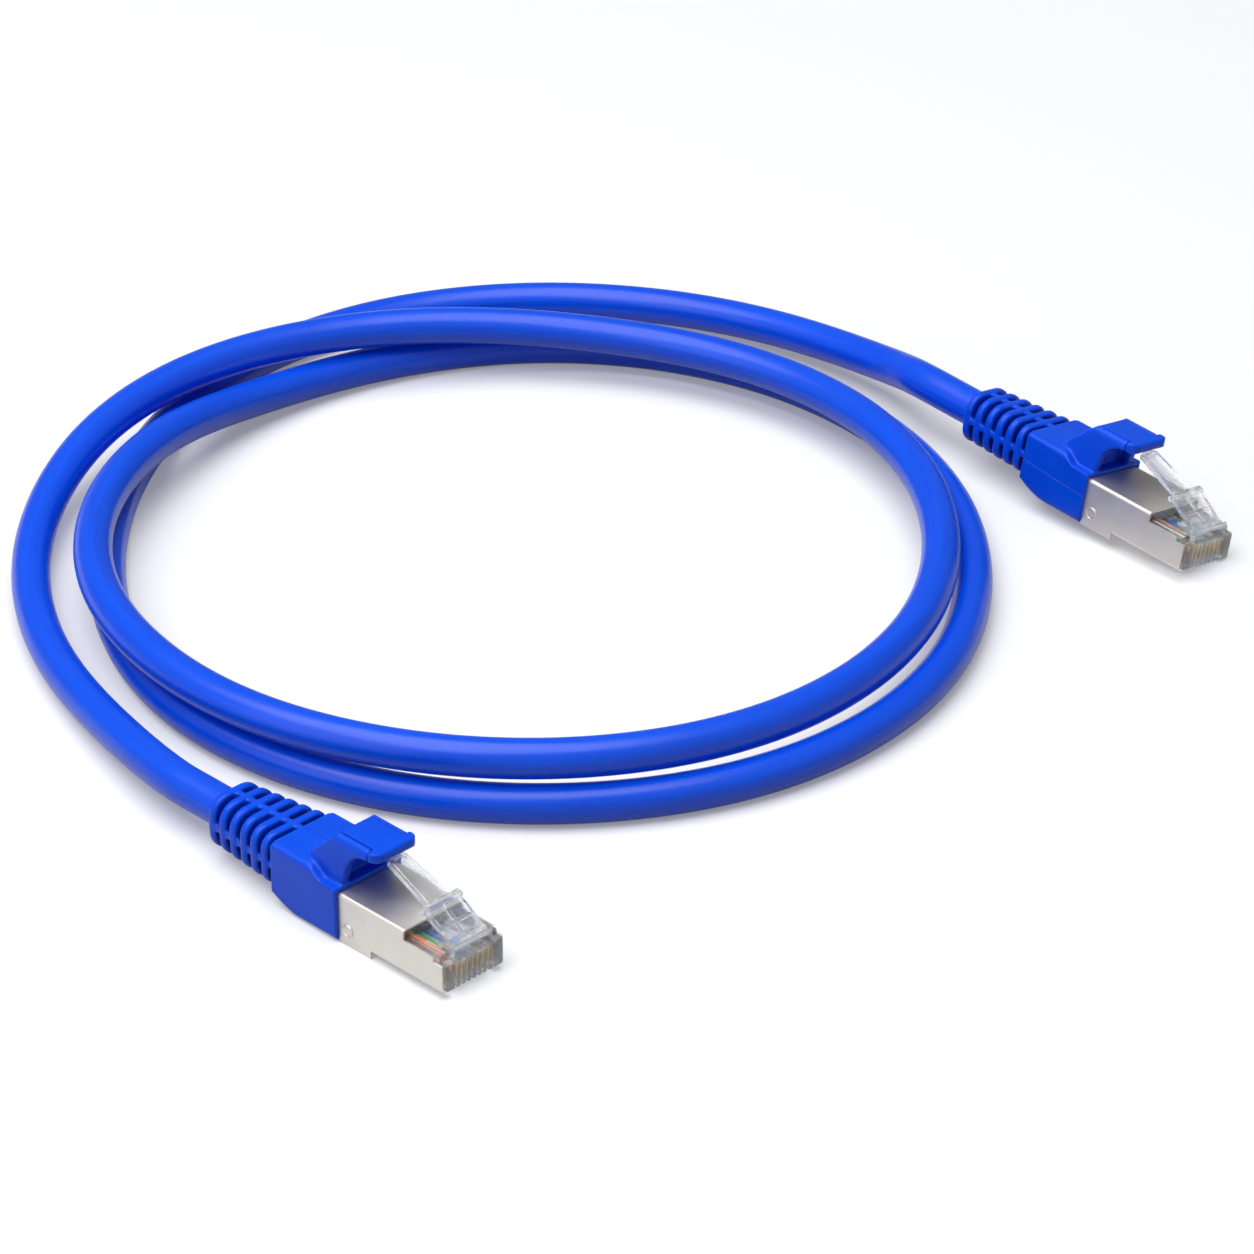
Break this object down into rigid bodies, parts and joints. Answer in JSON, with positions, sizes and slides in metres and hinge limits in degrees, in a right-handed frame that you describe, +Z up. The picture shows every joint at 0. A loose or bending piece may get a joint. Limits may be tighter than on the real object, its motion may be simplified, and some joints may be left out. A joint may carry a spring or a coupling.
{
  "type": "ethernet patch cable",
  "caption": "Screened ethernet patch cable laid in loose turns, with a ribbed boot, a hooded press tab, a metal-shielded modular plug and a clear sprung latch at each end.",
  "frame": {"origin": "on the surface that the cable lies on, below the middle of the box round the two plugs", "axes": "+Z up from the surface, +X to the right and +Y away from a viewer who has plug A nearest, lower left, and plug B to the right"},
  "size_m": [0.1945, 0.2162, 0.0179],
  "materials": {
    "jacket_pvc": "smooth satin royal-blue PVC",
    "boot_pvc": "moulded satin royal-blue PVC",
    "foil": "foil-wrapped twisted pairs",
    "nickel": "nickel plated, finely brushed",
    "clear_plastic": "clear polycarbonate",
    "gold": "gold plated",
    "wire_orange": "orange and white-orange insulation",
    "wire_green": "green and white-green insulation",
    "wire_blue": "blue and white-blue insulation",
    "wire_brown": "brown and white-brown insulation"
  },
  "bodies": {
    "cable": {"jacket": "jacket_pvc", "screened_core": "foil", "boot_a": "boot_pvc", "plug_shield_a": "nickel", "plug_body_a": "clear_plastic", "contacts_a": "gold", "load_bar_a": "clear_plastic", "pair_orange_a": "wire_orange", "pair_green_a": "wire_green", "pair_blue_a": "wire_blue", "pair_brown_a": "wire_brown", "crimp_ferrule_a": "nickel", "boot_b": "boot_pvc", "plug_shield_b": "nickel", "plug_body_b": "clear_plastic", "contacts_b": "gold", "load_bar_b": "clear_plastic", "pair_orange_b": "wire_orange", "pair_green_b": "wire_green", "pair_blue_b": "wire_blue", "pair_brown_b": "wire_brown", "crimp_ferrule_b": "nickel"},
    "tab_a": {"press_tab_a": "boot_pvc"},
    "latch_arm_a": {"latch_a": "clear_plastic"},
    "tab_b": {"press_tab_b": "boot_pvc"},
    "latch_arm_b": {"latch_b": "clear_plastic"}
  },
  "joints": [
    {"name": "press_tab_a_hinge", "type": "hinge", "parent": "cable", "child": "tab_a", "pos_m": [-0.05537, -0.06163, 0.0132], "axis": [0.7071, 0.7071, 0], "range_deg": [0, 18], "stiffness_Nm_per_rad": 0.05},
    {"name": "latch_a_hinge", "type": "hinge", "parent": "cable", "child": "latch_arm_a", "pos_m": [-0.03967, -0.07733, 0.00745], "axis": [-0.7071, -0.7071, 0], "range_deg": [0, 8.32], "stiffness_Nm_per_rad": 0.00001, "springref_deg": -34.38},
    {"name": "press_tab_b_hinge", "type": "hinge", "parent": "cable", "child": "tab_b", "pos_m": [0.06104, 0.05808, 0.0144], "axis": [0.7285, 0.667, -0.1562], "range_deg": [0, 18], "stiffness_Nm_per_rad": 0.05},
    {"name": "latch_b_hinge", "type": "hinge", "parent": "cable", "child": "latch_arm_b", "pos_m": [0.075, 0.04122, 0.00756], "axis": [-0.7285, -0.667, 0.1562], "range_deg": [0, 8.32], "stiffness_Nm_per_rad": 0.00001, "springref_deg": -34.38}
  ],
  "couplings": [
    {"joint": "latch_a_hinge", "follows": "press_tab_a_hinge", "ratio": 0.46},
    {"joint": "latch_b_hinge", "follows": "press_tab_b_hinge", "ratio": 0.46}
  ]
}
